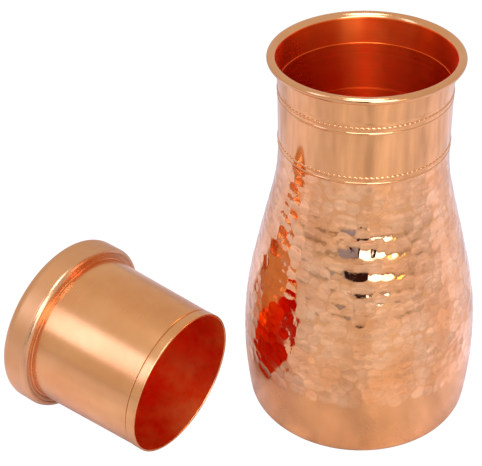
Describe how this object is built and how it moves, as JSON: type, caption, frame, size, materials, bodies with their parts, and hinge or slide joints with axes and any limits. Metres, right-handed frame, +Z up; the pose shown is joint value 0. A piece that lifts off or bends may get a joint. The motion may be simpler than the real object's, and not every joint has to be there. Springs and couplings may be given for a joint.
{
  "type": "copper water jug",
  "caption": "Hammered copper water jug with a beaded neck and rolled rim, and a straight copper tumbler with a wide cap that serves as its lid, lying beside it.",
  "frame": {"origin": "centre of the jug's flat base, on the surface that it stands on", "axes": "+Z up the jug's axis and out of its mouth; the lid lies on the -X side of the jug, with its mouth towards +X and -Y"},
  "size_m": [0.2647, 0.1423, 0.2177],
  "materials": {
    "hammered_copper": "polished and hand hammered, bright dimples",
    "plain_copper": "spun, lightly polished",
    "polished_copper": "mirror polished",
    "satin_copper": "spun and satin polished",
    "braze": "as brazed"
  },
  "bodies": {
    "jug": {"belly_shell": "hammered_copper", "base_disc": "plain_copper", "base_braze": "braze", "neck_collar": "polished_copper", "neck_seam": "polished_copper", "lower_bead_ring": "polished_copper", "upper_bead_ring": "polished_copper", "rim_wire": "braze"},
    "lid": {"lid_cup": "satin_copper", "lid_flange": "satin_copper", "lid_cap": "satin_copper", "lid_braze": "braze"}
  },
  "joints": [
    {"name": "lid_swing", "type": "hinge", "parent": "jug", "child": "lid", "pos_m": [0.03527, -0.15245, 0.17957], "axis": [0.7729, 0.5341, -0.3425], "range_deg": [0, 90.48]}
  ]
}
